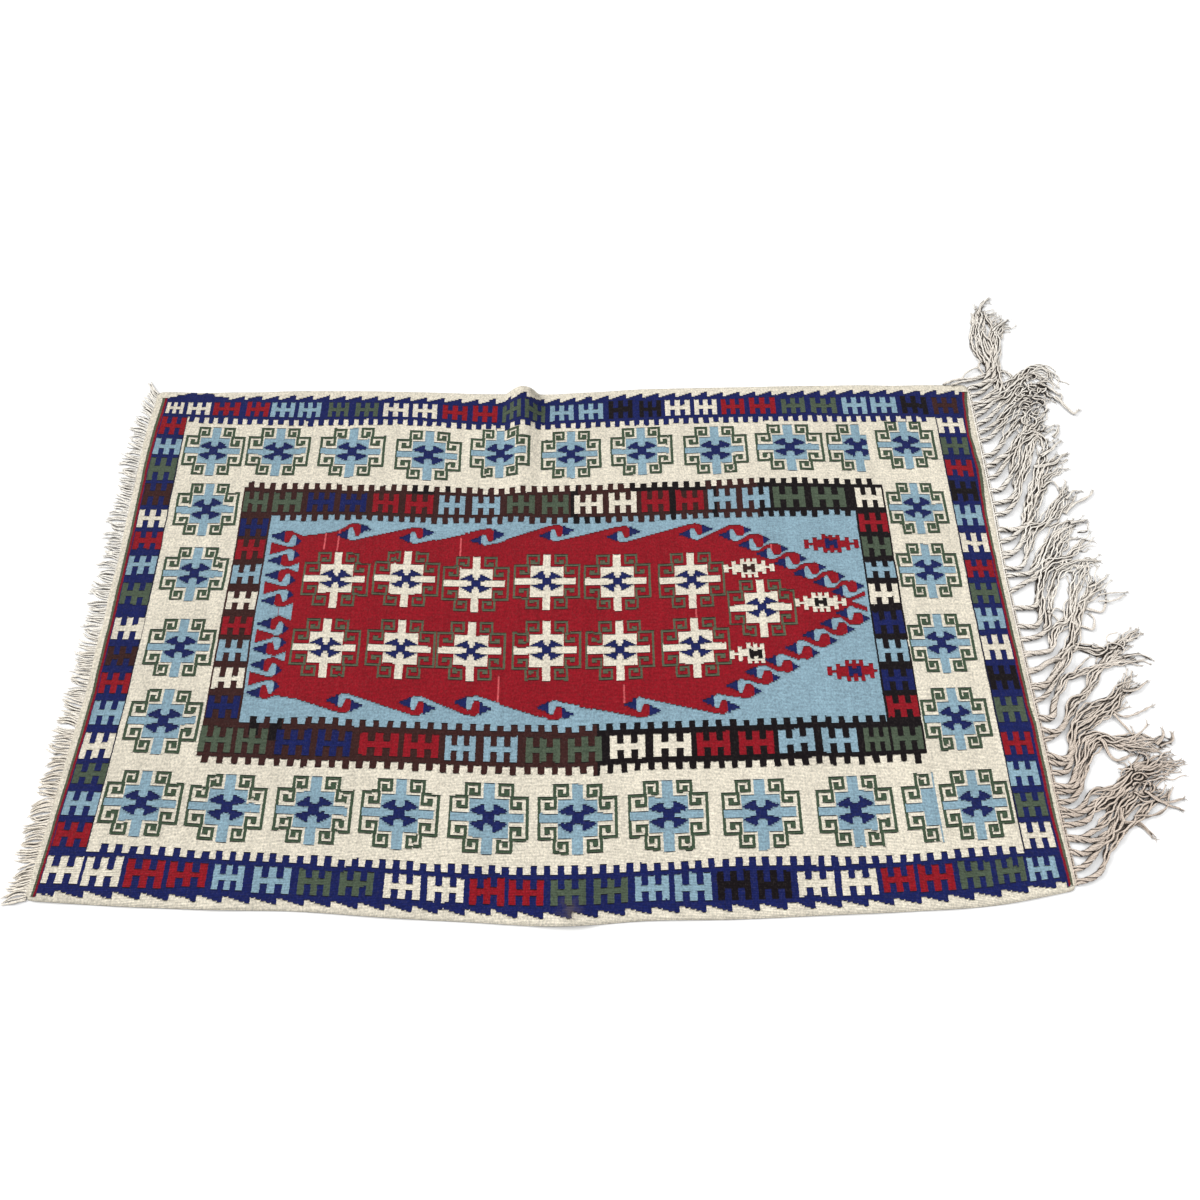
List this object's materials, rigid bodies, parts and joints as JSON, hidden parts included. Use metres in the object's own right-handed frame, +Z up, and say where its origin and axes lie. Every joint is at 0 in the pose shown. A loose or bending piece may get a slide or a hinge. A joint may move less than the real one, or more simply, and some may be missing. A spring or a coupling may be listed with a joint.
{
  "type": "kilim prayer rug",
  "caption": "Flat-woven wool kilim with a pointed red niche, medallion and comb borders, a short fringe at one end and long knotted bundles at the other.",
  "frame": {"origin": "on the floor, under the middle of the woven cloth", "axes": "+X along the warps towards the long fringe, +Y across the cloth, +Z up from the floor"},
  "size_m": [2.086, 1.3597, 0.0329],
  "materials": {
    "woven_wool": "slit-tapestry wool weave in red, ivory, blues, green and brown",
    "fringe_short": "undyed cream warp ends",
    "fringe_long": "undyed beige twisted warp yarn"
  },
  "bodies": {
    "root": {"kilim": "woven_wool", "fringe_left": "fringe_short", "fringe_right": "fringe_long"}
  },
  "joints": []
}
